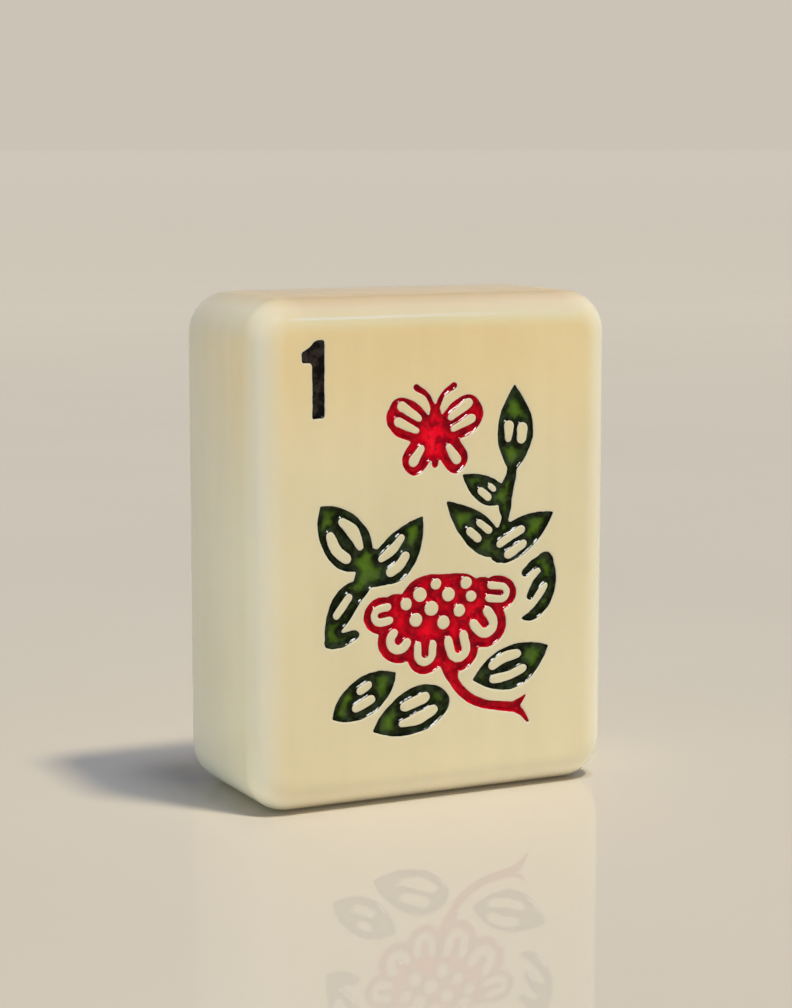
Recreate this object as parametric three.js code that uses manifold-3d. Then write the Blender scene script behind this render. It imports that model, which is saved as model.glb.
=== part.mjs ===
// A mahjong tile: one block of cream plastic with rounded edges. Its face is engraved with a numeral,
// a butterfly and a flower among leaves. Each engraving is filled with enamel that lies a little
// below the face, and the uncut plastic inside an engraving stands up through the enamel.
//
// Millimetres. The tile stands on its short end: +Z is up and the face looks along -Y.

import * as THREE from 'three';
import { mergeVertices } from 'three/addons/utils/BufferGeometryUtils.js';
import Module from 'manifold-3d';

const wasm = await Module();
wasm.setup();

// The block
const TILE_HEIGHT = 30;
const TILE_WIDTH = 23.5;
const TILE_THICKNESS = 11.5;
const EDGE_RADIUS = 1.9; // rounding between the sides and the face or back
const FACE_CORNER_RADIUS = 0.6; // corners of the flat part of the face

// The engraving and its filling
const ENGRAVING_DEPTH = 0.6;
const ENAMEL_THICKNESS = 0.35;
const ENAMEL_CLEARANCE = 0.03; // between the enamel and the engraved walls

// The art is drawn in squares. The numeral keeps to the top left corner and the picture to the middle.
const ART_SQUARE_WIDTH = 1;
const NUMERAL_FROM_SIDE = 2.92;
const NUMERAL_FROM_TOP = 2.34;

// How finely curves are divided
const EDGE_STEPS = 6;
const CORNER_STEPS = 6;
const LEAF_STEPS = 8;
const STROKE_STEPS = 3; // between two points of a stroke's path
const CAP_STEPS = 4; // round a narrow stroke's end
const CAP_SIDE = 0.45; // longest side of a wide stroke's end
const HORSESHOE_STEPS = 12; // along a petal's window
const OVAL_SIDES = 20;
const DOT_SIDES = 11;

const CREAM = { color: 0xd8c69c, roughness: 0.35, metalness: 0 };
const BLACK_ENAMEL = { color: 0x191612, roughness: 0.25, metalness: 0 };
const RED_ENAMEL = { color: 0xb40f22, roughness: 0.25, metalness: 0 };
const GREEN_ENAMEL = { color: 0x24361c, roughness: 0.25, metalness: 0 };

// A cubic curve swells to three quarters of its handles' height.
const HANDLE_REACH = 4 / 3;

const faceLevel = TILE_THICKNESS / 2;
const engravingFloor = faceLevel - ENGRAVING_DEPTH;
const enamelTop = engravingFloor + ENAMEL_THICKNESS;
const numeralCorner = new THREE.Vector2(NUMERAL_FROM_SIDE - TILE_WIDTH / 2, TILE_HEIGHT - NUMERAL_FROM_TOP);
const pictureMiddle = new THREE.Vector2(0, TILE_HEIGHT / 2);

// Outlines in the art's squares. Each is a closed list of points.

function vector([x, y]) {
  return new THREE.Vector2(x, y);
}

function polygon(corners) {
  return corners.map(vector);
}

function oval([x, y], length, width, turn, sides = OVAL_SIDES) {
  const curve = new THREE.EllipseCurve(x, y, length / 2, width / 2, 0, 2 * Math.PI, false, turn);
  return curve.getPoints(sides).slice(1);
}

function dot(centre, diameter) {
  return oval(centre, diameter, diameter, 0, DOT_SIDES);
}

// A leaf from its base to its tip. Each side is one curve that swells by its own half width, and
// its belly lies between two shares of the leaf's length.
function leaf(base, tip, leftHalf, rightHalf, [bellyStart, bellyEnd]) {
  const axis = vector(tip).sub(vector(base));
  const across = new THREE.Vector2(-axis.y, axis.x).normalize();
  const at = (along, aside) => vector(base).addScaledVector(axis, along).addScaledVector(across, aside);
  const side = (half) => {
    const reach = half * HANDLE_REACH;
    const handles = [at(bellyStart, reach), at(bellyEnd, reach)];
    const curve = new THREE.CubicBezierCurve(at(0, 0), ...handles, at(1, 0));
    return curve.getPoints(LEAF_STEPS);
  };
  const left = side(leftHalf).slice(0, -1);
  const right = side(-rightHalf).reverse().slice(0, -1);
  return [...left, ...right];
}

// A stroke with round ends along a curve, its width running evenly through the given widths.
function strokeAlong(curve, widths, steps) {
  const spans = widths.length - 1;
  const halfWidth = (t) => {
    const span = Math.min(Math.floor(t * spans), spans - 1);
    return THREE.MathUtils.lerp(widths[span], widths[span + 1], t * spans - span) / 2;
  };
  const rim = (t, angle) => {
    const heading = curve.getTangent(t).angle() + angle;
    const arm = new THREE.Vector2(Math.cos(heading), Math.sin(heading));
    return curve.getPoint(t).addScaledVector(arm, halfWidth(t));
  };
  const left = [];
  const right = [];
  for (let step = 0; step <= steps; step += 1) {
    left.push(rim(step / steps, Math.PI / 2));
    right.unshift(rim(step / steps, -Math.PI / 2));
  }
  const cap = (t, start) => {
    const count = Math.max(CAP_STEPS, Math.ceil(Math.PI * halfWidth(t) / CAP_SIDE));
    const between = Array.from({ length: count - 1 }, (_, index) => (index + 1) / count);
    return between.map((share) => rim(t, start - share * Math.PI));
  };
  return [...left, ...cap(1, Math.PI / 2), ...right, ...cap(0, -Math.PI / 2)];
}

// A stroke through a few points, with a width at each of them. Two points make a straight one.
function stroke(path, widths) {
  const spans = path.length - 1;
  const steps = spans > 1 ? spans * STROKE_STEPS : spans;
  return strokeAlong(new THREE.SplineCurve(path.map(vector)), widths, steps);
}

// The window of a petal: a horseshoe that leaves a vein of enamel between its arms.
function horseshoe({ centre, turn, length, width, band }) {
  const reach = (length - band) / 2;
  const radius = (width - band) / 2;
  const bend = new THREE.Path();
  bend.moveTo(-reach, radius);
  bend.lineTo(reach - radius, radius);
  bend.absarc(reach - radius, 0, radius, Math.PI / 2, -Math.PI / 2, true);
  bend.lineTo(-reach, -radius);
  const outline = strokeAlong(bend, [band, band], HORSESHOE_STEPS);
  return outline.map((corner) => corner.rotateAround(new THREE.Vector2(), turn).add(vector(centre)));
}

// The art. Fills are enamelled, and windows are left standing in them. The numeral is drawn from its
// own top left corner, and the other figures from the middle of the face.

function numeral() {
  const stem = [[1.43, -0.02], [1.43, -4.52], [0.66, -4.52], [0.66, -1.33]];
  const flag = [[0.05, -1.31], [0, -0.7], [0.43, -0.46], [0.88, 0]];
  return { fills: [polygon([...stem, ...flag])], windows: [] };
}

function butterfly() {
  const middle = -0.3;
  const at = (side, [x, y]) => [middle + side * x, y];
  const fills = [stroke([at(1, [0, 8.3]), at(1, [0, 7.2]), at(1, [0, 5.1])], [0.7, 0.85, 0.4])];
  const windows = [];
  for (const side of [-1, 1]) {
    const wing = (base, tip, upper, lower, belly) => {
      const [left, right] = side > 0 ? [upper, lower] : [lower, upper];
      return leaf(at(side, base), at(side, tip), left, right, belly);
    };
    const slot = (from, to, widths) => stroke([at(side, from), at(side, to)], widths);
    const antenna = [[0.1, 8.3], [0.5, 9.2], [1.25, 9.7]];
    fills.push(stroke(antenna.map((corner) => at(side, corner)), [0.34, 0.3, 0.4]));
    fills.push(wing([0.05, 6.75], [2.9, 8.75], 1, 1.3, [0.25, 1.05]));
    fills.push(wing([0.05, 7.1], [1.7, 4.65], 1, 0.75, [0.3, 1.05]));
    windows.push(slot([1.05, 7.85], [2.2, 8.65], [0.42, 0.6]));
    windows.push(slot([1.2, 7.15], [2.42, 7.72], [0.36, 0.58]));
    windows.push(slot([0.9, 6.1], [1.42, 5.35], [0.44, 0.64]));
  }
  return { fills, windows };
}

function flower() {
  const degrees = THREE.MathUtils.degToRad;
  const petals = [
    { centre: [-3.8, -3.6], turn: degrees(189), length: 1.56, width: 1.42, band: 0.58, rim: 0.4 },
    { centre: [-2.78, -5.32], turn: degrees(234), length: 1.42, width: 1.76, band: 0.68, rim: 0.46 },
    { centre: [-0.94, -6.09], turn: degrees(269), length: 1.68, width: 1.58, band: 0.6, rim: 0.44 },
    { centre: [1.25, -5.92], turn: degrees(284), length: 1.94, width: 1.74, band: 0.68, rim: 0.5 },
    { centre: [3.08, -4.66], turn: degrees(308), length: 1.82, width: 1.86, band: 0.7, rim: 0.52 },
    { centre: [3.95, -2.82], turn: degrees(351), length: 1.74, width: 1.34, band: 0.56, rim: 0.38 },
  ];
  const seeds = [
    { centre: [-0.23, -1.98], diameter: 0.72 },
    { centre: [1.79, -2.07], diameter: 0.76 },
    { centre: [-1.29, -2.56], diameter: 0.92 },
    { centre: [0.6, -2.67], diameter: 0.86 },
    { centre: [2.12, -2.9], diameter: 0.7 },
    { centre: [-2.19, -3.02], diameter: 0.78 },
    { centre: [-0.52, -3.43], diameter: 0.94 },
    { centre: [1.33, -3.7], diameter: 0.82 },
    { centre: [-1.55, -4.04], diameter: 0.84 },
    { centre: [0.26, -4.33], diameter: 0.84 },
  ];
  const head = stroke([[-0.72, -3.4], [1.3, -3.4]], [4, 3.9]);
  const shoulders = [dot([-2.9, -3.3], 1.9), dot([2.8, -2.6], 1.7)];
  const outers = petals.map(({ centre, turn, length, width, rim }) => {
    return oval(centre, length + 2 * rim, width + 2 * rim, turn);
  });
  const stem = [[0.75, -6.8], [0.93, -7.85], [1.72, -8.8], [2.65, -9.4], [3.9, -9.72], [5.2, -9.9]];
  const upperFork = [[4.9, -9.82], [5.45, -9.58], [5.84, -9.24]];
  const lowerFork = [[4.9, -9.9], [5.55, -10.25], [6.02, -10.88]];
  return {
    fills: [
      head,
      ...shoulders,
      ...outers,
      stroke(stem, [1.5, 0.68, 0.58, 0.56, 0.52, 0.7]),
      stroke(upperFork, [0.55, 0.4, 0.12]),
      stroke(lowerFork, [0.55, 0.42, 0.12]),
    ],
    windows: [
      ...petals.map(horseshoe),
      ...seeds.map(({ centre, diameter }) => dot(centre, diameter)),
    ],
  };
}

function rightSprig() {
  const upperStem = [[4.84, 4.9], [4.77, 4.1], [4.42, 3.2], [4.38, 2.2]];
  const lowerStem = [[4.4, 1.65], [4.12, 0.4], [3.97, -0.5]];
  return {
    fills: [
      leaf([4.82, 4.2], [4.98, 9.62], 1.06, 1.38, [0.33, 0.62]),
      leaf([4.5, 2.85], [1.48, 4.42], 1.02, 0.66, [0.1, 0.6]),
      leaf([4, -0.5], [0.42, 2.9], 0.98, 1.1, [0.05, 0.6]),
      leaf([3.6, -0.5], [7.72, 1.83], 1.12, 1.14, [-0.08, 0.62]),
      stroke([...upperStem, ...lowerStem], [0.62, 0.7, 1, 0.84, 0.48, 0.8, 1.1]),
    ],
    windows: [
      stroke([[4.61, 7.17], [4.58, 6.36]], [0.64, 0.44]),
      stroke([[5.53, 7], [5.46, 6.35]], [0.7, 0.66]),
      stroke([[2.75, 3.37], [3.24, 2.97]], [0.48, 0.48]),
      stroke([[3.36, 3.63], [3.63, 3.42]], [0.38, 0.36]),
      stroke([[1.99, 1.01], [2.56, 0.53]], [0.5, 0.5]),
      stroke([[2.63, 1.5], [3.33, 0.96]], [0.42, 0.46]),
      stroke([[4.05, 0.12], [5.51, 0.9]], [0.46, 0.52]),
      stroke([[4.6, -0.58], [5.63, 0]], [0.56, 0.54]),
    ],
  };
}

function leftSprig() {
  const junction = [[-4.45, -0.25], [-4.8, -1.08], [-5.3, -2.25]];
  const hook = [[-7.05, -4.9], [-6.35, -4.85], [-5.5, -4.6]];
  return {
    fills: [
      leaf([-4.95, -0.6], [-7.72, 3.12], 1.48, 1.52, [0, 0.72]),
      leaf([-4.3, -1.1], [-1.07, 2.15], 0.84, 1.72, [-0.1, 0.62]),
      leaf([-4.8, -1.45], [-7.42, -5.25], 0.42, 1.24, [0.15, 0.58]),
      stroke(junction, [1.4, 1.34, 0.9]),
      stroke([[-4.7, -1.2], [-3.5, -1.2]], [1.4, 1.2]),
      stroke(hook, [0.9, 0.86, 0.58]),
    ],
    windows: [
      stroke([[-7.09, 1.3], [-6.72, 0.5], [-6.03, -0.09]], [0.54, 0.66, 0.58]),
      stroke([[-6.3, 2.1], [-5.62, 1.45], [-5.17, 0.55]], [0.52, 0.8, 0.42]),
      stroke([[-3.8, -0.25], [-3.1, 0.25], [-2.52, 0.9]], [0.44, 0.6, 0.5]),
      stroke([[-3.2, -1.05], [-2.62, -0.72], [-2.23, -0.18]], [0.6, 0.64, 0.56]),
      stroke([[-5.9, -2.35], [-6.7, -3.38]], [0.46, 0.48]),
    ],
  };
}

function curledLeaf() {
  const blade = [[7.15, -1.12], [7.42, -1.8], [7.6, -2.7], [7.05, -3.75], [6.3, -4.38], [5.62, -4.52]];
  return {
    fills: [
      stroke(blade, [1.15, 0.95, 0.54, 0.75, 0.66, 0.16]),
      stroke([[7.1, -1], [6.3, -1.34], [5.76, -1.76]], [0.7, 0.6, 0.48]),
      stroke([[7.3, -1.95], [6.62, -2.45], [6.1, -3.22]], [0.8, 0.66, 0.48]),
    ],
    windows: [],
  };
}

function lowLeftLeaf() {
  return {
    fills: [leaf([-7.04, -9.53], [-2.82, -7.05], 1.14, 1.22, [0.25, 0.75])],
    windows: [
      stroke([[-5.2, -7.98], [-4.67, -7.68]], [0.52, 0.52]),
      stroke([[-5.46, -8.96], [-4.45, -8.52]], [0.52, 0.56]),
    ],
  };
}

function lowMiddleLeaf() {
  return {
    fills: [leaf([-4.38, -10.5], [0.7, -8.84], 1.5, 1.28, [0.3, 0.95])],
    windows: [
      stroke([[-2.3, -9.2], [-0.95, -8.72]], [0.6, 0.68]),
      stroke([[-2.48, -10.18], [-1.4, -9.98], [-0.38, -9.52]], [0.46, 0.74, 0.62]),
    ],
  };
}

function lowRightLeaf() {
  return {
    fills: [leaf([2.2, -8], [7.45, -6.3], 1.03, 1.62, [0.3, 0.68])],
    windows: [
      stroke([[3.56, -7.24], [4.4, -6.8], [5.27, -6.66]], [0.56, 0.66, 0.54]),
      stroke([[3.62, -8.07], [4.7, -7.95], [5.66, -7.58]], [0.52, 0.56, 0.54]),
    ],
  };
}

// Solids. The tile is modelled lying on its back, with the face up.

function toSolid(geometry) {
  geometry.deleteAttribute('normal');
  geometry.deleteAttribute('uv');
  const merged = mergeVertices(geometry);
  const vertProperties = new Float32Array(merged.attributes.position.array);
  const triVerts = new Uint32Array(merged.index.array);
  return new wasm.Manifold(new wasm.Mesh({ numProp: 3, vertProperties, triVerts }));
}

function toGeometry(solid) {
  const mesh = solid.getMesh();
  const geometry = new THREE.BufferGeometry();
  geometry.setAttribute('position', new THREE.BufferAttribute(mesh.vertProperties, 3));
  geometry.setIndex(new THREE.BufferAttribute(mesh.triVerts, 1));
  geometry.computeVertexNormals();
  return geometry;
}

// Moves the sides of a closed outline out by a distance, or in by a negative one.
function grown(outline, distance) {
  const outward = THREE.ShapeUtils.isClockWise(outline) ? -1 : 1;
  const count = outline.length;
  return outline.map((corner, index) => {
    const arriving = corner.clone().sub(outline[(index + count - 1) % count]).normalize();
    const leaving = outline[(index + 1) % count].clone().sub(corner).normalize();
    const normal = new THREE.Vector2(arriving.y + leaving.y, -arriving.x - leaving.x).normalize();
    const mitre = 1 / (normal.x * arriving.y - normal.y * arriving.x);
    return corner.clone().addScaledVector(normal, outward * distance * mitre);
  });
}

function prisms(outlines, origin, spread, bottom, top) {
  const onFace = (corner) => origin.clone().addScaledVector(corner, ART_SQUARE_WIDTH);
  const solids = outlines.map((outline) => {
    const shape = new THREE.Shape(grown(outline.map(onFace), spread));
    const geometry = new THREE.ExtrudeGeometry(shape, { depth: top - bottom, bevelEnabled: false });
    return toSolid(geometry.translate(0, 0, bottom));
  });
  return solids.reduce((joined, solid) => joined.add(solid));
}

// An engraved figure as a solid from the engraving's floor to a level, its walls moved out by spread.
function figure({ fills, windows }, origin, spread, top) {
  const filled = prisms(fills, origin, spread, engravingFloor, top);
  if (windows.length === 0) {
    return filled;
  }
  const above = top + ENGRAVING_DEPTH;
  const below = engravingFloor - ENGRAVING_DEPTH;
  return filled.subtract(prisms(windows, origin, -spread, below, above));
}

function block() {
  const right = TILE_WIDTH / 2 - EDGE_RADIUS - FACE_CORNER_RADIUS;
  const low = EDGE_RADIUS + FACE_CORNER_RADIUS;
  const high = TILE_HEIGHT - low;
  const flat = new THREE.Shape();
  flat.absarc(right, low, FACE_CORNER_RADIUS, -Math.PI / 2, 0);
  flat.absarc(right, high, FACE_CORNER_RADIUS, 0, Math.PI / 2);
  flat.absarc(-right, high, FACE_CORNER_RADIUS, Math.PI / 2, Math.PI);
  flat.absarc(-right, low, FACE_CORNER_RADIUS, Math.PI, 1.5 * Math.PI);
  const straight = TILE_THICKNESS - 2 * EDGE_RADIUS;
  const geometry = new THREE.ExtrudeGeometry(flat, {
    depth: straight,
    curveSegments: CORNER_STEPS,
    bevelThickness: EDGE_RADIUS,
    bevelSize: EDGE_RADIUS,
    bevelSegments: EDGE_STEPS,
  });
  return toSolid(geometry.translate(0, 0, -straight / 2));
}

const engravings = [
  { name: 'numeral_inlay', art: numeral(), origin: numeralCorner, finish: BLACK_ENAMEL },
  { name: 'butterfly_inlay', art: butterfly(), origin: pictureMiddle, finish: RED_ENAMEL },
  { name: 'flower_inlay', art: flower(), origin: pictureMiddle, finish: RED_ENAMEL },
  { name: 'right_sprig_inlay', art: rightSprig(), origin: pictureMiddle, finish: GREEN_ENAMEL },
  { name: 'left_sprig_inlay', art: leftSprig(), origin: pictureMiddle, finish: GREEN_ENAMEL },
  { name: 'curled_leaf_inlay', art: curledLeaf(), origin: pictureMiddle, finish: GREEN_ENAMEL },
  { name: 'low_left_leaf_inlay', art: lowLeftLeaf(), origin: pictureMiddle, finish: GREEN_ENAMEL },
  { name: 'low_middle_leaf_inlay', art: lowMiddleLeaf(), origin: pictureMiddle, finish: GREEN_ENAMEL },
  { name: 'low_right_leaf_inlay', art: lowRightLeaf(), origin: pictureMiddle, finish: GREEN_ENAMEL },
];

function piece(name, solid, finish) {
  const mesh = new THREE.Mesh(toGeometry(solid), new THREE.MeshStandardMaterial(finish));
  mesh.name = name;
  return mesh;
}

function tileBody() {
  const aboveFace = faceLevel + ENGRAVING_DEPTH;
  const pockets = engravings.map(({ art, origin }) => figure(art, origin, 0, aboveFace));
  return pockets.reduce((body, pocket) => body.subtract(pocket), block());
}

const lying = new THREE.Group();
lying.add(piece('tile_body', tileBody(), CREAM));
for (const { name, art, origin, finish } of engravings) {
  lying.add(piece(name, figure(art, origin, -ENAMEL_CLEARANCE, enamelTop), finish));
}

// Stands the tile up on its short end.
lying.rotation.x = Math.PI / 2;

const tile = new THREE.Group();
tile.add(lying);

export default tile;
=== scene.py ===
# A mahjong tile: a polished cream block with engravings that hold pooled enamel.
# Shapes are worked out in millimetres from the CAD nodes and made in metres, in the same frame.

import math

import bmesh
import bpy
import numpy as np
from mathutils import Color, Euler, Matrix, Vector, kdtree, noise
from mathutils.geometry import delaunay_2d_cdt


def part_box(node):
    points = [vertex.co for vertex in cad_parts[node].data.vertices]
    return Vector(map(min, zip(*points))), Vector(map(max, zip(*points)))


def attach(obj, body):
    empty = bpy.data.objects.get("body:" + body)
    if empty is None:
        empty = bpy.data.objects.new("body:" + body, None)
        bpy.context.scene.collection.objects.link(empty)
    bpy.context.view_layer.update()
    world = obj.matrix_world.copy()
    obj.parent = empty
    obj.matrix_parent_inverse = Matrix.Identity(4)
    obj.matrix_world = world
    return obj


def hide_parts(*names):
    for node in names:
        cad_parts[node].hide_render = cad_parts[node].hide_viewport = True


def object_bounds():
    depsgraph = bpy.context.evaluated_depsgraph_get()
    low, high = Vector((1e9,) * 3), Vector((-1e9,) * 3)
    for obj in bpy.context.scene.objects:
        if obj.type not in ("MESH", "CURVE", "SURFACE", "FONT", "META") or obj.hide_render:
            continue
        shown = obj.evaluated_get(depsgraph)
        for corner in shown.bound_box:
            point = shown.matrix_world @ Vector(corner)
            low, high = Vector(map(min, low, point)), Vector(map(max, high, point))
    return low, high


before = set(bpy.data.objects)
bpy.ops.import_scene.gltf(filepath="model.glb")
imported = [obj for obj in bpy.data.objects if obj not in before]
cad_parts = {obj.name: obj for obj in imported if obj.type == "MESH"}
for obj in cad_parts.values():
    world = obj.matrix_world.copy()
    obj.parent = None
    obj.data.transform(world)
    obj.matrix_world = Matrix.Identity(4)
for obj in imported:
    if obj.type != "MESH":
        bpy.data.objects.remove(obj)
cad_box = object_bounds()

MM = 0.001
QUARTER_TURN = 90  # degrees

# The enamel of each engraving, by the CAD node that it replaces
INLAYS = {
    "numeral_inlay": "black_enamel",
    "butterfly_inlay": "red_enamel",
    "flower_inlay": "red_enamel",
    "right_sprig_inlay": "green_enamel",
    "left_sprig_inlay": "green_enamel",
    "curled_leaf_inlay": "green_enamel",
    "low_left_leaf_inlay": "green_enamel",
    "low_middle_leaf_inlay": "green_enamel",
    "low_right_leaf_inlay": "green_enamel",
}

# The block, in millimetres
EDGE_RADIUS = 1.9
FACE_CORNER_RADIUS = 0.6
EDGE_STEPS = 18
CORNER_STEPS = 12
SIDE_STEPS = 30
FLAT_GUARD = 0.05  # strip at the border of a flat face that keeps the rest of it flat to the light
FACE_RIM_LEVEL = 10.0  # stands for the outline of the flat face, beyond every distance on it
EDGE_MIDDLE = math.radians(45)  # how far the surface has turned half way round an edge

# The engraved outlines, in millimetres
CAD_CLEARANCE = 0.03  # the CAD inlays stop this far inside the engraved walls
FRONT_TOLERANCE = 0.05  # faces of a CAD inlay this near its foremost point are its front
PLACE_DIGITS = 4  # decimals by which corners of a CAD mesh are matched
SOFTEN_ROUNDS = 2
CORNER_CUT = 0.25  # share of the shorter side that is cut off at a corner
SHARP_TURN = math.radians(55)
TIP_CUT = 0.05  # taken off each side of a sharp tip
NOTCH_RADIUS = 0.07  # rounding of the cream plastic between two strokes of enamel
PETAL_TRIM = 0.055  # the petals that stand in the flower are cut this much smaller all round
PETAL_LEAST_AREA = 0.9
WOBBLE = 0.038  # how far a hand-cut outline strays
WOBBLE_LENGTH = 0.9
WOBBLE_ROUGHNESS = (0.7, 2.2, 3)  # falling off, ratio and number of the finer waves
FIELD_PITCH = 0.05
FIELD_MARGIN = 0.6
SAMPLE_STEP = 0.03
LOOP_STEP = 0.06
LEAST_LOOP_POINTS = 10
LEAST_SQUARE = 1e-12  # keeps a share of a step without length from dividing by zero

# The lip of an engraving is a rounding that ends just before it is upright
LIP_RADIUS = 0.08
LIP_STEPS = 4
LIP_END = math.radians(72)
LIP_SPAN = LIP_RADIUS * math.sin(LIP_END)

# The enamel, in millimetres
ENAMEL_GAP = 0.004  # to the engraved wall
ENAMEL_EDGE = 0.06  # below the face, where it climbs the wall
ENAMEL_SAG = 0.2  # from there to the middle of a wide pool
ENAMEL_CLIMB = 0.2  # distance from the wall in which most of the sag happens
ENAMEL_RIPPLE = 0.04
RIPPLE_LENGTH = 0.6
POOL_LEVELS = (0.02, 0.045, 0.075, 0.11, 0.155, 0.21, 0.28, 0.36, 0.46, 0.6, 0.8, 1.05)

# The meshes
WHOLE_HULL = 0  # asks for triangles all over the points' convex hull
SAME_PLACE = 1e-7  # points this near each other, in millimetres, become one in a triangulation
WELD = 2e-7  # vertices this near each other, in metres, become one in a piece
BODY_SHARP_ANGLE = math.radians(60)
ENAMEL_SHARP_ANGLE = math.radians(50)
PLAIN_MARK = 0.0
ENGRAVED_MARK = 1.0

# The cream plastic: a noise has a scale in features to the metre, and a range is a part of its values
CLOUDS = {"scale": 90, "detail": 4}
CLOUD_RANGE = (0.3, 0.7)
CLOUD_COLOURS = ((0.74, 0.62, 0.37, 1), (0.78, 0.67, 0.42, 1))
STREAKS = {"scale": 700, "detail": 3, "stretch": (1, 1, 0.1)}
STREAK_RANGE = (0.35, 0.65)
STREAK_DARKEST = 0.95
STREAK_SHARE = 0.5
GLOSS = {"scale": 300, "detail": 4}
GLOSS_RANGE = (0.3, 0.75)
FLAT_ROUGHNESS = (0.2, 0.27)
EDGE_ROUGHNESS = 0.1
ENGRAVED_ROUGHNESS = 0.1
WAVES = {"scale": 400, "detail": 3}
WAVE_STRENGTH = 0.06
WAVE_HEIGHT = 0.1 * MM
CREAM_SURFACE = {
    "Subsurface Weight": 0.25,
    "Subsurface Radius": (1, 0.7, 0.4),
    "Subsurface Scale": 1.2 * MM,
    "IOR": 1.5,
}

# Painted light and shade on the cream plastic: tints multiply its colour, and a paler cream is mixed in
# on the edges
# A painted warm reflection toward the top
WARM_REFLECTION = (1.06, 0.975, 0.83, 1)
WARM_REFLECTION_HEIGHTS = (0.62, 0.86)  # shares of the height in which the tint comes in
# A painted highlight leaves the upper edge cooler, and painted shade darkens the top
UPPER_EDGE_HIGHLIGHT = (0.93, 0.985, 1, 1)
TOP_SHADE = (0.9, 0.83, 0.81, 1)
TOP_SHADE_HEIGHTS = (0.935, 0.955, 0.985)  # untinted, upper edge, top under painted shade
TOP_SHADE_ENDS = (0.05, 0.14)  # shares of the width in which the painted shade fades out to a side
# Painted shade makes the sides greyer toward the back
BACK_SHADE = (0.9, 0.92, 1.02, 1)
BACK_SHADE_DEPTHS = (0.17, 0.83)  # shares of the thickness, from the face
# A painted sheen on the rounded edges, stronger on the right
SHEEN_CREAM = (0.85, 0.785, 0.62, 1)
LEFT_SHEEN = 0.42
RIGHT_SHEEN = 0.62

# The enamel paints: display colours by the distance from the wall in millimetres, with painted shade near
# the wall
# and painted light in the middle of a wide pool, and brushed patches that also paint sheen and shade
PAINTS = {
    "black_enamel": {
        "pool": [(0, (9, 5, 4)), (0.4, (19, 14, 11))],
        "patch": (70, 60, 54),
        "patch_share": 0.6,
    },
    "red_enamel": {
        "pool": [(0, (205, 2, 24)), (0.1, (166, 0, 20)), (0.28, (204, 2, 26)), (0.5, (240, 6, 36))],
        "patch": (112, 0, 18),
        "patch_share": 0.75,
    },
    "green_enamel": {
        "pool": [(0, (9, 9, 3)), (0.29, (28, 36, 10)), (0.38, (53, 74, 14)), (0.6, (80, 110, 28))],
        "patch": (70, 84, 56),
        "patch_share": 0.35,
    },
}
DISPLAY_WHITE = 255
STRAY = {"scale": 1600, "detail": 3}
STRAY_REACH = 0.32  # how unevenly the paint is brushed out, in millimetres
PATCHES = {"scale": 1900, "detail": 4}
PATCH_RANGE = (0.45, 0.62)
ENAMEL_GLOSS = {"scale": 1500, "detail": 3}
ENAMEL_GLOSS_RANGE = (0.3, 0.7)
ENAMEL_ROUGHNESS = (0.1, 0.2)
ENAMEL_WAVES = {"scale": 2200, "detail": 2}
ENAMEL_WAVE_STRENGTH = 0.4
ENAMEL_WAVE_HEIGHT = 0.1 * MM
ENAMEL_SURFACE = {
    "Specular IOR Level": 0.03,
    "Coat Weight": 0.1,
    "Coat Roughness": 0.08,
}

# The floor
FLOOR_REACH = 20  # metres to each side
FLOOR_CLOUDS = {"scale": 25, "detail": 3}
FLOOR_RANGE = (0.3, 0.7)
FLOOR_COLOURS = ((0.72, 0.66, 0.56, 1), (0.74, 0.68, 0.58, 1))
FLOOR_SURFACE = {
    "Roughness": 0.02,
    "IOR": 1.2,
}

# The camera, in millimetres and degrees
CAMERA_PLACE = (-67.783, -137.222, 38.628)
CAMERA_TURN = -26.273  # about the upright axis: it stands left of the face and looks to the right
CAMERA_TILT = 8.03  # downward
CAMERA_LENS = 90.875
CAMERA_SENSOR = 36
CAMERA_NEAREST = 5

# The light: each lamp stands so many degrees to the right of the face's own direction and so many up.
# Distances and sizes are in metres, and a sun's width is in degrees.
WHITE = (1, 1, 1)
FAR_DISTANCE = 0.8
SUNS = {
    "key": {"stand": (35.6, 69), "width": 7, "strength": 2, "colour": (1, 0.9, 0.68)},
    "high": {"stand": (25, 80), "width": 10, "strength": 0.85, "colour": (0.78, 0.84, 1)},
}
SIDE_DISTANCE = 0.09
FILL_SIZE = (0.04, 0.04)
FILLS = {
    "front_fill": {
        "stand": (30, -6), "distance": 0.15, "size": FILL_SIZE,
        "power": 0.05, "colour": (1, 0.99, 1),
    },
    "left_fill": {
        "stand": (-70, 6), "distance": SIDE_DISTANCE, "size": FILL_SIZE,
        "power": 0.033, "colour": (0.63, 0.775, 1),
    },
    "low_fill": {
        "stand": (-80, -28), "distance": 0.05, "size": FILL_SIZE,
        "power": 0.0014, "colour": (0.75, 0.88, 1),
    },
    "foot_fill": {
        "stand": (-86, -39), "distance": 0.0335, "size": (0.004, 0.004),
        "power": 0.0005, "colour": (0.55, 0.8, 1),
    },
    "right_fill": {
        "stand": (65, 0), "distance": SIDE_DISTANCE, "size": FILL_SIZE,
        "power": 0.0175, "colour": (0.4, 0.7, 1),
    },
    "back_fill": {
        "stand": (150, 20), "distance": FAR_DISTANCE, "size": (0.6, 0.4),
        "power": 5, "colour": (0.95, 0.97, 1),
    },
}
GLINT_STAND = (-15, 52)
GLINTS = {
    "strip": {
        "stand": (31.5, 38), "distance": FAR_DISTANCE, "size": (0.09, 0.09),
        "power": 0.18, "colour": (0.1, 0.42, 1),
    },
    "window": {
        "stand": GLINT_STAND, "distance": FAR_DISTANCE, "size": (0.14, 0.16),
        "power": 0.15, "colour": WHITE,
    },
    "glint": {
        "stand": GLINT_STAND, "distance": FAR_DISTANCE, "size": (0.24, 0.26),
        "power": 26, "colour": WHITE,
    },
}
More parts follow.
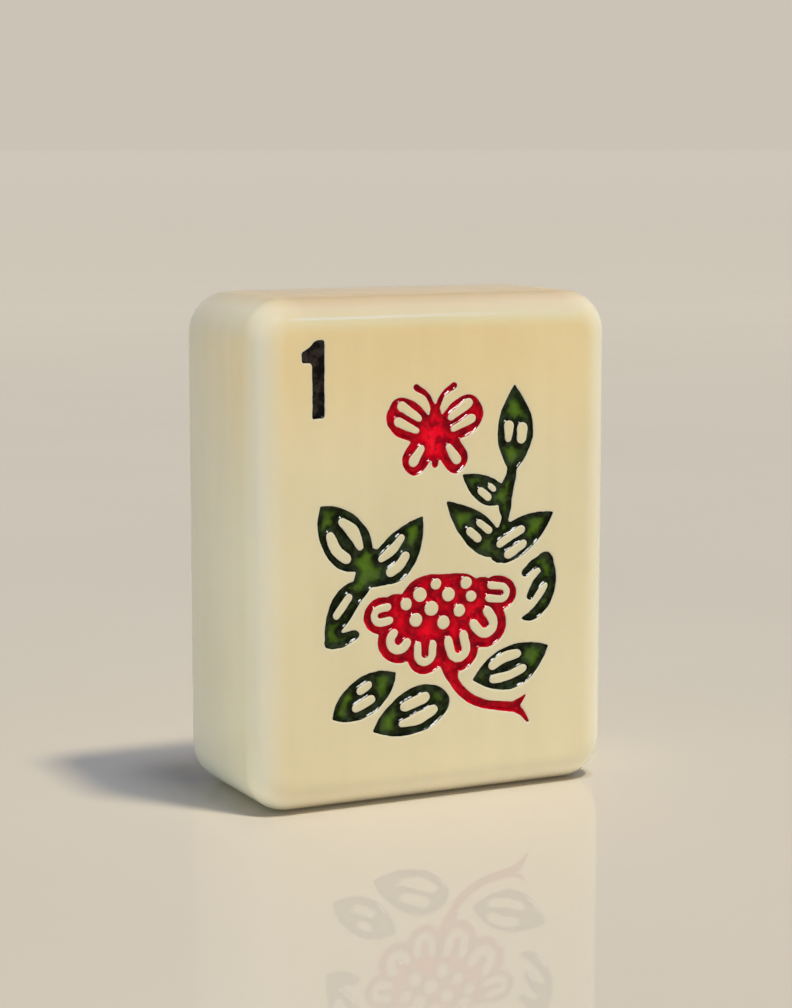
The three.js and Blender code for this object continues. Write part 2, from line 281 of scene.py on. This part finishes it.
AIR_COLOURS = ((0.6, 0.55, 0.47, 1), (0.11, 0.14, 0.21, 1))  # low down, and overhead
AIR_RISE = (0.06, 0.35)


def box_mm(node):
    low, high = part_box(node)
    return np.array(low) / MM, np.array(high) / MM


# Outlines, as arrays of points across and up


def rim_loops(node):
    """Closed outlines of the side of a CAD inlay that faces the viewer, with the enamel on the left."""
    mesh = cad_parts[node].data
    points = np.array([vertex.co for vertex in mesh.vertices]) / MM
    front = points[:, 1].min()
    places = [tuple(point) for point in points[:, [0, 2]].round(PLACE_DIGITS)]
    steps = set()
    for polygon in mesh.polygons:
        corners = list(polygon.vertices)
        if np.abs(points[corners, 1] - front).max() < FRONT_TOLERANCE:
            steps.update((places[a], places[b]) for a, b in zip(corners, corners[1:] + corners[:1]))
    following = {a: b for a, b in steps if (b, a) not in steps}
    loops = []
    while following:
        start, place = following.popitem()
        loop = [start]
        while place != start:
            loop.append(place)
            place = following.pop(place)
        loops.append(np.array(loop))
    return loops


def softened(loop):
    """Cuts the corners off a closed outline, with only a little off a sharp tip of the enamel."""
    for _ in range(SOFTEN_ROUNDS):
        arriving = loop - np.roll(loop, 1, axis=0)
        leaving = np.roll(loop, -1, axis=0) - loop
        length_in = np.linalg.norm(arriving, axis=1)
        length_out = np.linalg.norm(leaving, axis=1)
        cross = arriving[:, 0] * leaving[:, 1] - arriving[:, 1] * leaving[:, 0]
        turn = np.arctan2(cross, (arriving * leaving).sum(axis=1))
        cut = np.minimum(length_in, length_out) * CORNER_CUT
        cut = np.where(turn > SHARP_TURN, np.minimum(cut, TIP_CUT), cut)
        before = loop - arriving * (cut / length_in)[:, None]
        after = loop + leaving * (cut / length_out)[:, None]
        loop = np.stack([before, after], axis=1).reshape(-1, 2)
    return loop


def petals_trimmed(loop):
    """Makes a large island in the enamel smaller: it lies on the right of its outline."""
    ahead = np.roll(loop, -1, axis=0)
    area = (loop[:, 0] * ahead[:, 1] - loop[:, 1] * ahead[:, 0]).sum() / 2
    if area > -PETAL_LEAST_AREA:
        return loop
    along = ahead - np.roll(loop, 1, axis=0)
    inward = np.stack([along[:, 1], -along[:, 0]], axis=1)
    return loop + PETAL_TRIM * inward / np.linalg.norm(along, axis=1)[:, None]


def resampled(loop, step):
    """Points along a closed outline, about a step apart."""
    closed = np.vstack([loop, loop[:1]])
    run = np.concatenate([[0], np.cumsum(np.linalg.norm(np.diff(closed, axis=0), axis=1))])
    count = max(LEAST_LOOP_POINTS, round(run[-1] / step))
    at = np.arange(count) * run[-1] / count
    return np.stack([np.interp(at, run, closed[:, axis]) for axis in (0, 1)], axis=1)


def crossings(starts, ends, y):
    """Where the steps from starts to ends cross the height y."""
    spans = (starts[:, 1] > y) != (ends[:, 1] > y)
    low, high = starts[spans], ends[spans]
    return low[:, 0] + (y - low[:, 1]) / (high[:, 1] - low[:, 1]) * (high[:, 0] - low[:, 0])


def inside(points, loops):
    """Which points lie inside an odd number of loops."""
    starts = np.vstack(loops)
    ends = np.vstack([np.roll(loop, -1, axis=0) for loop in loops])
    return np.array([(crossings(starts, ends, y) > x).sum() % 2 == 1 for x, y in points])


class Field:
    """Distance to the nearest engraved outline on a grid over the face, negative in the engraving."""

    def __init__(self, loops, owners, low, high):
        self.low = low
        self.columns = np.arange(low[0], high[0], FIELD_PITCH)
        self.rows = np.arange(low[1], high[1], FIELD_PITCH)
        dense = [resampled(loop, SAMPLE_STEP) for loop in loops]
        samples = np.vstack(dense)
        before = np.vstack([np.roll(loop, 1, axis=0) for loop in dense])
        after = np.vstack([np.roll(loop, -1, axis=0) for loop in dense])
        owner = np.concatenate([np.full(len(loop), mark) for loop, mark in zip(dense, owners)])
        tree = kdtree.KDTree(len(samples))
        for index, (x, y) in enumerate(samples):
            tree.insert((x, y, 0), index)
        tree.balance()
        x, y = np.meshgrid(self.columns, self.rows)
        points = np.stack([x.ravel(), y.ravel()], axis=1)
        nearest = np.array([tree.find((px, py, 0))[1] for px, py in points])
        here = samples[nearest]
        reach = np.minimum(
            self.segment_distance(points, before[nearest], here),
            self.segment_distance(points, here, after[nearest]),
        )
        reach = reach.reshape(x.shape)
        self.owner = owner[nearest].reshape(x.shape)
        self.value = np.where(self.within(samples, after), -reach, reach)

    @staticmethod
    def segment_distance(points, starts, ends):
        along = ends - starts
        share = ((points - starts) * along).sum(axis=1)
        share = share / np.maximum((along**2).sum(axis=1), LEAST_SQUARE)
        foot = starts + along * np.clip(share, 0, 1)[:, None]
        return np.linalg.norm(points - foot, axis=1)

    def within(self, starts, ends):
        """Which places of the grid lie inside an odd number of outlines."""
        odd = np.zeros((len(self.rows), len(self.columns)), bool)
        for index, y in enumerate(self.rows):
            odd[index] = np.searchsorted(np.sort(crossings(starts, ends, y)), self.columns) % 2
        return odd

    def owner_at(self, point):
        column, row = np.round((point - self.low) / FIELD_PITCH).astype(int)
        return self.owner[row, column]

    def contours(self, level):
        """Closed loops where the distance is level."""
        value = self.value - level
        positive = value > 0
        flat = positive[:, :-1] != positive[:, 1:]
        upright = positive[:-1] != positive[1:]
        flat_index = np.full(flat.shape, -1)
        flat_index[flat] = np.arange(flat.sum())
        upright_index = np.full(upright.shape, -1)
        upright_index[upright] = np.arange(upright.sum()) + flat.sum()
        row, column = np.nonzero(flat)
        share = value[row, column] / (value[row, column] - value[row, column + 1])
        places = [np.stack([column + share, row], axis=1)]
        row, column = np.nonzero(upright)
        share = value[row, column] / (value[row, column] - value[row + 1, column])
        places.append(np.stack([column, row + share], axis=1))
        places = np.vstack(places) * FIELD_PITCH + self.low
        links = [[] for _ in places]
        sides = np.stack(
            [flat_index[:-1], upright_index[:, 1:], flat_index[1:], upright_index[:, :-1]], axis=-1
        )
        for row, column in np.argwhere((sides >= 0).any(axis=-1)):
            crossed = [side for side in sides[row, column] if side >= 0]
            pairs = [crossed]
            if len(crossed) == sides.shape[-1]:
                middle = value[row : row + 2, column : column + 2].mean() > 0
                turned = crossed if middle == positive[row, column] else crossed[1:] + crossed[:1]
                pairs = [turned[:2], turned[2:]]
            for a, b in pairs:
                links[a].append(b)
                links[b].append(a)
        return [places[loop] for loop in self.chained(links)]

    @staticmethod
    def chained(links):
        """Follows the links from place to place, one loop at a time."""
        seen = set()
        for start in range(len(links)):
            if start in seen:
                continue
            loop = [start]
            seen.add(start)
            while True:
                onward = [link for link in links[loop[-1]] if link not in seen]
                if not onward:
                    break
                loop.append(onward[0])
                seen.add(onward[0])
            yield loop


def engraved_field():
    """The field of all the engravings, with softened outlines, rounded notches and a hand-cut wobble."""
    loops = []
    owners = []
    for mark, node in enumerate(INLAYS):
        for loop in rim_loops(node):
            loop = softened(loop)
            if node == "flower_inlay":
                loop = petals_trimmed(loop)
            loops.append(loop)
            owners.append(mark)
    every = np.vstack(loops)
    low = every.min(axis=0) - FIELD_MARGIN
    high = every.max(axis=0) + FIELD_MARGIN
    first = Field(loops, owners, low, high)
    widened = first.contours(NOTCH_RADIUS + CAD_CLEARANCE)
    marks = [first.owner_at(loop[0]) for loop in widened]
    field = Field(widened, marks, low, high)
    x, y = np.meshgrid(field.columns, field.rows)
    places = np.stack([x.ravel(), y.ravel(), np.zeros(x.size)], axis=1) / WOBBLE_LENGTH
    stray = np.array([noise.fractal(place, *WOBBLE_ROUGHNESS) for place in places]).reshape(x.shape)
    field.value += NOTCH_RADIUS + WOBBLE * stray
    return field


def rounded_rectangle(half_width, low, high, radius):
    """Points round a rectangle with round corners, starting at its lower right corner."""
    right = half_width - radius
    bottom = low + radius
    top = high - radius
    arcs = []
    for corner, centre in enumerate([(right, bottom), (right, top), (-right, top), (-right, bottom)]):
        arc = []
        for step in range(CORNER_STEPS + 1):
            angle = math.radians(QUARTER_TURN * (corner - 1) + QUARTER_TURN * step / CORNER_STEPS)
            arc.append(centre + radius * np.array([math.cos(angle), math.sin(angle)]))
        arcs.append(arc)
    points = []
    for arc, ahead in zip(arcs, arcs[1:] + arcs[:1]):
        begin = arc[-1]
        end = ahead[0]
        points.extend(arc)
        points.extend(begin + (end - begin) * share for share in np.arange(1, SIDE_STEPS) / SIDE_STEPS)
    return np.array(points)


# Meshes


def triangulated(levelled, border, keep_inside):
    """Joins levelled loops, as (level, loop) pairs, into triangles on one side of the border level."""
    points = np.vstack([loop for _, loop in levelled])
    levels = np.concatenate([np.full(len(loop), level) for level, loop in levelled])
    edges = []
    for _, loop in levelled:
        first = len(edges)
        count = len(loop)
        edges.extend((first + i, first + (i + 1) % count) for i in range(count))
    corners = [Vector(point) for point in points]
    joined = delaunay_2d_cdt(corners, edges, [], WHOLE_HULL, SAME_PLACE)
    places, _, triangles, sources, _, _ = joined
    places = np.array(places)
    triangles = np.array(triangles)
    level_at = np.array([levels[source[0]] if source else border for source in sources])
    only_border = (level_at[triangles] == border).all(axis=1)
    keep = ~only_border
    if only_border.any():
        middles = places[triangles[only_border]].mean(axis=1)
        border_loops = [loop for level, loop in levelled if level == border]
        keep[only_border] = inside(middles, border_loops) == keep_inside
    return places, level_at, triangles[keep]


def at_depth(loop, depth):
    return [(x, depth, z) for x, z in loop]


class Shell:
    """Collects vertices and faces of one piece, in millimetres, with a mark at each vertex."""

    def __init__(self):
        self.points = []
        self.marks = []
        self.faces = []

    def add(self, points, marks, faces):
        first = len(self.points)
        self.points.extend(points)
        self.marks.extend(marks)
        self.faces.extend([first + corner for corner in face] for face in faces)

    def add_strip(self, rows, mark):
        """Quads between rows of points, each row a closed loop."""
        count = len(rows[0])
        points = [point for row in rows for point in row]
        faces = []
        for row in range(len(rows) - 1):
            near = row * count
            far = near + count
            for i in range(count):
                j = (i + 1) % count
                faces.append((near + i, near + j, far + j, far + i))
        self.add(points, [mark] * len(points), faces)

    def add_floor(self, rims, depth, mark):
        """A flat floor inside closed outlines."""
        places, _, triangles = triangulated([(0, rim) for rim in rims], 0, True)
        self.add(at_depth(places, depth), [mark] * len(places), triangles)

    def piece(self, name, node, slot, attribute, sharp_angle):
        mesh = bpy.data.meshes.new(name)
        mesh.from_pydata([Vector(point) * MM for point in self.points], [], self.faces)
        layer = mesh.attributes.new(attribute, "FLOAT", "POINT")
        layer.data.foreach_set("value", np.array(self.marks, np.float32))
        shape = bmesh.new()
        shape.from_mesh(mesh)
        bmesh.ops.remove_doubles(shape, verts=shape.verts, dist=WELD)
        bmesh.ops.recalc_face_normals(shape, faces=shape.faces)
        shape.to_mesh(mesh)
        shape.free()
        mesh.shade_smooth()
        mesh.set_sharp_from_angle(angle=sharp_angle)
        piece = bpy.data.objects.new(name, mesh)
        bpy.context.scene.collection.objects.link(piece)
        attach(piece, "root")
        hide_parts(node)
        return piece


# The block


class Block:
    """The plain block, from the box of the CAD body."""

    def __init__(self):
        low, high = box_mm("tile_body")
        self.face = low[1]
        self.back = high[1]
        self.side = high[0]
        self.bottom = low[2]
        self.top = high[2]

    def loop(self, growth):
        """Outline of the flat part of the face, grown outward."""
        inset = EDGE_RADIUS
        return rounded_rectangle(
            self.side - inset + growth,
            self.bottom + inset - growth,
            self.top - inset + growth,
            FACE_CORNER_RADIUS + growth,
        )


def add_sides(shell, block):
    """The rounded edges and the sides, from the face to the back."""
    angles = [math.radians(QUARTER_TURN * step / EDGE_STEPS) for step in range(EDGE_STEPS + 1)]
    rows = []
    for angle in angles:
        depth = block.face + EDGE_RADIUS * (1 - math.cos(angle))
        rows.append(at_depth(block.loop(EDGE_RADIUS * math.sin(angle)), depth))
    for angle in reversed(angles):
        depth = block.back - EDGE_RADIUS * (1 - math.cos(angle))
        rows.append(at_depth(block.loop(EDGE_RADIUS * math.sin(angle)), depth))
    shell.add_strip(rows, PLAIN_MARK)


def add_back(shell, block):
    rim = at_depth(block.loop(0), block.back)
    guard = at_depth(block.loop(-FLAT_GUARD), block.back)
    shell.add_strip([rim, guard], PLAIN_MARK)
    shell.add(guard, [PLAIN_MARK] * len(guard), [range(len(guard))])


def lip_depths(face):
    """Depth at each distance from an engraved outline, from the flat face down its rounded lip."""
    depths = {}
    for step in range(LIP_STEPS + 1):
        angle = LIP_END * step / LIP_STEPS
        depths[LIP_SPAN - LIP_RADIUS * math.sin(angle)] = face + LIP_RADIUS * (1 - math.cos(angle))
    depths[LIP_SPAN + FLAT_GUARD] = face
    return depths


def add_face(shell, block, field):
    """The face with the lips of its engravings. Returns the lips' lower outlines and their depth."""
    depths = lip_depths(block.face)
    border = min(depths)
    levelled = [(FACE_RIM_LEVEL, block.loop(0)), (FACE_RIM_LEVEL, block.loop(-FLAT_GUARD))]
    for level in depths:
        levelled.extend((level, resampled(loop, LOOP_STEP)) for loop in field.contours(level))
    depths[FACE_RIM_LEVEL] = block.face
    places, levels, triangles = triangulated(levelled, border, False)
    points = [(x, depths[level], z) for (x, z), level in zip(places, levels)]
    marks = [ENGRAVED_MARK if level < LIP_SPAN else PLAIN_MARK for level in levels]
    shell.add(points, marks, triangles)
    rims = [loop for level, loop in levelled if level == border]
    return rims, depths[border]


def add_engravings(shell, rims, lip_foot, floor):
    """The engraved walls, down from where the lips end, and the floors."""
    for rim in rims:
        shell.add_strip([at_depth(rim, lip_foot), at_depth(rim, floor)], ENGRAVED_MARK)
    shell.add_floor(rims, floor, ENGRAVED_MARK)


def tile_body(field):
    block = Block()
    _, inlay_high = box_mm("numeral_inlay")
    floor = inlay_high[1]
    shell = Shell()
    add_sides(shell, block)
    add_back(shell, block)
    rims, lip_foot = add_face(shell, block, field)
    add_engravings(shell, rims, lip_foot, floor)
    piece = shell.piece("cream_body", "tile_body", "cream_plastic", "engraved", BODY_SHARP_ANGLE)
    mark_edge_sheen(piece.data, block.side)
    return piece


def mark_edge_sheen(mesh, half_width):
    """Marks how much painted sheen each place gets: 0 on the flat sides, most half way round an edge on
    the right.
    """
    straight = np.array([max(abs(part) for part in vertex.normal) for vertex in mesh.vertices])
    round_edge = np.clip(np.arccos(np.minimum(straight, 1)) / EDGE_MIDDLE, 0, 1)
    across = np.array([vertex.co.x for vertex in mesh.vertices]) / MM / half_width
    most = np.interp(across, (-1, 1), (LEFT_SHEEN, RIGHT_SHEEN))
    layer = mesh.attributes.new("edge_sheen", "FLOAT", "POINT")
    layer.data.foreach_set("value", (round_edge * most).astype(np.float32))


# The enamel


def enamel(field, mark, node, slot):
    """Enamel pooled in one engraving: it climbs the walls and sags in the middle."""
    body_low, _ = box_mm("tile_body")
    _, inlay_high = box_mm(node)
    face = body_low[1]
    floor = inlay_high[1]
    levelled = []
    for level in (ENAMEL_GAP,) + POOL_LEVELS:
        for loop in field.contours(-level):
            if field.owner_at(loop[0]) == mark:
                levelled.append((level, resampled(loop, LOOP_STEP)))
    places, levels, triangles = triangulated(levelled, ENAMEL_GAP, True)

    def surface(x, z, level):
        sag = ENAMEL_SAG * (1 - math.exp(-level / ENAMEL_CLIMB))
        ripple = ENAMEL_RIPPLE * noise.noise((x / RIPPLE_LENGTH, z / RIPPLE_LENGTH, mark))
        return face + ENAMEL_EDGE + sag + ripple

    shell = Shell()
    points = [(x, surface(x, z, level), z) for (x, z), level in zip(places, levels)]
    shell.add(points, levels, triangles)
    rims = [loop for level, loop in levelled if level == ENAMEL_GAP]
    for rim in rims:
        brim = [(x, surface(x, z, ENAMEL_GAP), z) for x, z in rim]
        shell.add_strip([brim, at_depth(rim, floor)], ENAMEL_GAP)
    shell.add_floor(rims, floor, ENAMEL_GAP)
    return shell.piece(node.replace("inlay", "enamel"), node, slot, "pool", ENAMEL_SHARP_ANGLE)


# Materials


def grey(value):
    return (value, value, value, 1)


def linear(display):
    """A linear colour from display values out of 255."""
    shares = [value / DISPLAY_WHITE for value in display]
    return (*Color(shares).from_srgb_to_scene_linear(), 1)


class NodeTree:
    """Makes the nodes of a shader. A value is another node's socket, or a plain number or colour."""

    def __init__(self, tree):
        self.nodes = tree.nodes
        self.links = tree.links

    def set(self, socket, value):
        if isinstance(value, bpy.types.NodeSocket):
            self.links.new(value, socket)
        else:
            socket.default_value = value

    def place(self):
        return self.nodes.new("ShaderNodeTexCoord").outputs["Object"]

    def place_noise(self, scale, detail, stretch=(1, 1, 1)):
        """Noise by place on the object, with scale in features to the metre."""
        mapping = self.nodes.new("ShaderNodeMapping")
        self.set(mapping.inputs["Vector"], self.place())
        self.set(mapping.inputs["Scale"], stretch)
        texture = self.nodes.new("ShaderNodeTexNoise")
        self.set(texture.inputs["Vector"], mapping.outputs["Vector"])
        self.set(texture.inputs["Scale"], scale)
        self.set(texture.inputs["Detail"], detail)
        return texture.outputs["Fac"]

    def part(self, vector, axis):
        split = self.nodes.new("ShaderNodeSeparateXYZ")
        self.set(split.inputs["Vector"], vector)
        return split.outputs[axis]

    def place_share(self, axis, begin, end):
        """Place along one axis of the object, as a share of the way between two places in metres."""
        share = self.nodes.new("ShaderNodeMapRange")
        self.set(share.inputs["Value"], self.part(self.place(), axis))
        self.set(share.inputs["From Min"], begin)
        self.set(share.inputs["From Max"], end)
        return share.outputs["Result"]

    def strayed(self, value, texture, reach):
        """Moves a value up and down by a noise, by as much as the reach."""
        stray = self.nodes.new("ShaderNodeMapRange")
        self.set(stray.inputs["Value"], texture)
        self.set(stray.inputs["To Min"], -reach)
        self.set(stray.inputs["To Max"], reach)
        total = self.nodes.new("ShaderNodeMath")
        total.operation = "ADD"
        self.set(total.inputs[0], value)
        self.set(total.inputs[1], stray.outputs["Result"])
        return total.outputs[0]

    def vertex_mark(self, name):
        node = self.nodes.new("ShaderNodeAttribute")
        node.attribute_name = name
        return node.outputs["Fac"]

    def ramp(self, value, positions, colours):
        """Colours that follow a value, each at its own position from 0 to 1."""
        node = self.nodes.new("ShaderNodeValToRGB")
        elements = node.color_ramp.elements
        while len(elements) < len(positions):
            elements.new(1)
        for element, position, colour in zip(elements, positions, colours):
            element.position = position
            element.color = colour
        self.set(node.inputs["Fac"], value)
        return node.outputs["Color"]

    def mixed(self, kind, share, first, second):
        node = self.nodes.new("ShaderNodeMix")
        node.data_type = "RGBA"
        node.blend_type = kind
        sockets = {socket.identifier: socket for socket in [*node.inputs, *node.outputs]}
        self.set(sockets["Factor_Float"], share)
        self.set(sockets["A_Color"], first)
        self.set(sockets["B_Color"], second)
        return sockets["Result_Color"]

    def bump(self, height, strength, distance):
        node = self.nodes.new("ShaderNodeBump")
        self.set(node.inputs["Height"], height)
        self.set(node.inputs["Strength"], strength)
        self.set(node.inputs["Distance"], distance)
        return node.outputs["Normal"]


def new_material(name, surface):
    """A material with plain values set on its shader, its node tree and the shader's sockets."""
    material = bpy.data.materials.new(name)
    material.use_nodes = True
    tree = NodeTree(material.node_tree)
    sockets = material.node_tree.nodes["Principled BSDF"].inputs
    for socket, value in surface.items():
        tree.set(sockets[socket], value)
    return material, tree, sockets


def cream_plastic(low, high):
    """Polished plastic, clouded and streaked.

    It carries painted light: a warm reflection toward its top, shade on it and toward the back, and a
    pale sheen on its glossy edges.
    """
    material, tree, sockets = new_material("cream_plastic", CREAM_SURFACE)
    height = tree.place_share("Z", low.z, high.z)
    depth = tree.place_share("Y", low.y, high.y)
    across = tree.place_share("X", low.x, high.x)
    edge_sheen = tree.vertex_mark("edge_sheen")
    flat = tree.ramp(edge_sheen, (0, LEFT_SHEEN), (grey(1), grey(0)))
    back = tree.ramp(depth, BACK_SHADE_DEPTHS, (grey(0), grey(1)))

    colour = tree.ramp(tree.place_noise(**CLOUDS), CLOUD_RANGE, CLOUD_COLOURS)
    streaks = tree.ramp(tree.place_noise(**STREAKS), STREAK_RANGE, (grey(STREAK_DARKEST), grey(1)))
    colour = tree.mixed("MULTIPLY", STREAK_SHARE, colour, streaks)

    # Painted light: the face is warmer toward its top as a painted reflection, and the sides are greyer
    # toward the back as painted shade
    tint = tree.ramp(height, WARM_REFLECTION_HEIGHTS, (grey(1), WARM_REFLECTION))
    tint = tree.mixed("MIX", back, tint, BACK_SHADE)
    tinted = tree.mixed("LIGHTEN", 1, flat, back)
    colour = tree.mixed("MULTIPLY", tinted, colour, tint)
    # A painted sheen: the rounded edges are mixed toward a paler cream
    colour = tree.mixed("MIX", edge_sheen, colour, SHEEN_CREAM)

    # Painted shade darkens the top between its ends, and a painted highlight leaves its upper edge cooler
    near, far = TOP_SHADE_ENDS
    spread = tree.ramp(across, (near, far, 1 - far, 1 - near), (grey(0), grey(1), grey(1), grey(0)))
    top_shade = tree.ramp(height, TOP_SHADE_HEIGHTS, (grey(1), UPPER_EDGE_HIGHLIGHT, TOP_SHADE))
    colour = tree.mixed("MULTIPLY", spread, colour, top_shade)
    tree.set(sockets["Base Color"], colour)

    roughness = [grey(value) for value in FLAT_ROUGHNESS]
    gloss = tree.ramp(tree.place_noise(**GLOSS), GLOSS_RANGE, roughness)
    gloss = tree.mixed("MIX", flat, grey(EDGE_ROUGHNESS), gloss)
    gloss = tree.mixed("MIX", tree.vertex_mark("engraved"), gloss, grey(ENGRAVED_ROUGHNESS))
    tree.set(sockets["Roughness"], gloss)
    waves = tree.place_noise(**WAVES)
    tree.set(sockets["Normal"], tree.bump(waves, WAVE_STRENGTH, WAVE_HEIGHT))
    return material


def enamel_paint(name, pool, patch, patch_share):
    """Glossy paint that is darker near a wall, where it lies thick and shade is painted, lighter in the
    middle as painted light, with brushed patches that also paint sheen and shade.
    """
    material, tree, sockets = new_material(name, ENAMEL_SURFACE)
    distance = tree.strayed(tree.vertex_mark("pool"), tree.place_noise(**STRAY), STRAY_REACH)
    distances, colours = zip(*pool)
    # Darker near the wall, where the paint lies thick and shade is painted, and lighter in the middle as
    # painted light
    colour = tree.ramp(distance, distances, [linear(display) for display in colours])
    # Patches of painted sheen and shade, brushed at random
    patches = tree.ramp(tree.place_noise(**PATCHES), PATCH_RANGE, (grey(0), grey(patch_share)))
    tree.set(sockets["Base Color"], tree.mixed("MIX", patches, colour, linear(patch)))
    roughness = [grey(value) for value in ENAMEL_ROUGHNESS]
    gloss = tree.ramp(tree.place_noise(**ENAMEL_GLOSS), ENAMEL_GLOSS_RANGE, roughness)
    tree.set(sockets["Roughness"], gloss)
    waves = tree.place_noise(**ENAMEL_WAVES)
    tree.set(sockets["Normal"], tree.bump(waves, ENAMEL_WAVE_STRENGTH, ENAMEL_WAVE_HEIGHT))
    return material


def floor_paint():
    material, tree, sockets = new_material("pale_floor", FLOOR_SURFACE)
    clouds = tree.place_noise(**FLOOR_CLOUDS)
    tree.set(sockets["Base Color"], tree.ramp(clouds, FLOOR_RANGE, FLOOR_COLOURS))
    return material


# The studio


def plain_floor():
    mesh = bpy.data.meshes.new("floor")
    reach = FLOOR_REACH
    corners = [(-reach, -reach, 0), (reach, -reach, 0), (reach, reach, 0), (-reach, reach, 0)]
    mesh.from_pydata(corners, [], [range(len(corners))])
    mesh.materials.append(floor_paint())
    floor = bpy.data.objects.new("floor", mesh)
    bpy.context.scene.collection.objects.link(floor)


def studio_air():
    """Soft light from all round: pale at the height of the floor, cooler and dimmer overhead."""
    world = bpy.data.worlds.new("studio")
    world.use_nodes = True
    tree = NodeTree(world.node_tree)
    height = tree.part(tree.nodes.new("ShaderNodeTexCoord").outputs["Generated"], "Z")
    tree.set(tree.nodes["Background"].inputs["Color"], tree.ramp(height, AIR_RISE, AIR_COLOURS))
    bpy.context.scene.world = world


def direction(heading, lift):
    """Unit vector from the tile, by degrees to the right of the face's own direction and degrees up."""
    across = math.radians(heading)
    up = math.radians(lift)
    return Vector((math.sin(across) * math.cos(up), -math.cos(across) * math.cos(up), math.sin(up)))


def lamp_at(data, aim, stand, distance):
    """Puts a light at a distance from the place that it is aimed at, out of the camera's sight."""
    towards = direction(*stand)
    lamp = bpy.data.objects.new(data.name, data)
    lamp.location = aim + towards * distance
    lamp.rotation_euler = towards.to_track_quat("Z", "Y").to_euler()
    lamp.visible_camera = False
    bpy.context.scene.collection.objects.link(lamp)
    return lamp


def sun(name, aim, stand, width, strength, colour):
    """Distant light with soft shadows, which shows in no reflection."""
    data = bpy.data.lights.new(name, "SUN")
    data.energy = strength
    data.angle = math.radians(width)
    data.color = colour
    lamp_at(data, aim, stand, FAR_DISTANCE).visible_glossy = False


def softbox(name, aim, stand, distance, size, power, colour):
    data = bpy.data.lights.new(name, "AREA")
    data.shape = "RECTANGLE"
    data.size, data.size_y = size
    data.energy = power
    data.color = colour
    return lamp_at(data, aim, stand, distance)


def shine_only_on(lamp, objects):
    lit = bpy.data.collections.new("lit_by_" + lamp.name)
    for item in objects:
        lit.objects.link(item)
    lamp.light_linking.receiver_collection = lit
    lamp.light_linking.blocker_collection = lit


def studio(body, enamels, low, high):
    plain_floor()
    studio_air()
    middle = (low + high) / 2
    for name, values in SUNS.items():
        sun(name, middle, **values)

    # The fills brighten the tile alone, so its shadow on the floor stays dark
    for name, values in FILLS.items():
        fill = softbox(name, middle, **values)
        fill.visible_glossy = False
        shine_only_on(fill, [body, *enamels])

    # These show only as reflections: a line on the upper edge, a shine on a corner, glints in the enamel
    glints = {name: softbox(name, middle, **values) for name, values in GLINTS.items()}
    for lamp in glints.values():
        lamp.visible_diffuse = False
    shine_only_on(glints["window"], [body])
    shine_only_on(glints["glint"], enamels)


def camera():
    data = bpy.data.cameras.new("camera")
    data.lens = CAMERA_LENS
    data.sensor_width = CAMERA_SENSOR
    data.clip_start = CAMERA_NEAREST * MM
    view = bpy.data.objects.new("camera", data)
    view.location = Vector(CAMERA_PLACE) * MM
    tilt = math.radians(QUARTER_TURN - CAMERA_TILT)
    view.rotation_euler = Euler((tilt, 0, math.radians(CAMERA_TURN)))
    bpy.context.scene.collection.objects.link(view)
    bpy.context.scene.camera = view


field = engraved_field()
body = tile_body(field)
body.data.materials.append(cream_plastic(*cad_box))
paints = {name: enamel_paint(name, **values) for name, values in PAINTS.items()}
enamels = []
for mark, (node, slot) in enumerate(INLAYS.items()):
    enamels.append(enamel(field, mark, node, slot))
    enamels[-1].data.materials.append(paints[slot])
studio(body, enamels, *cad_box)
camera()
bpy.context.scene.view_settings.view_transform = "Standard"
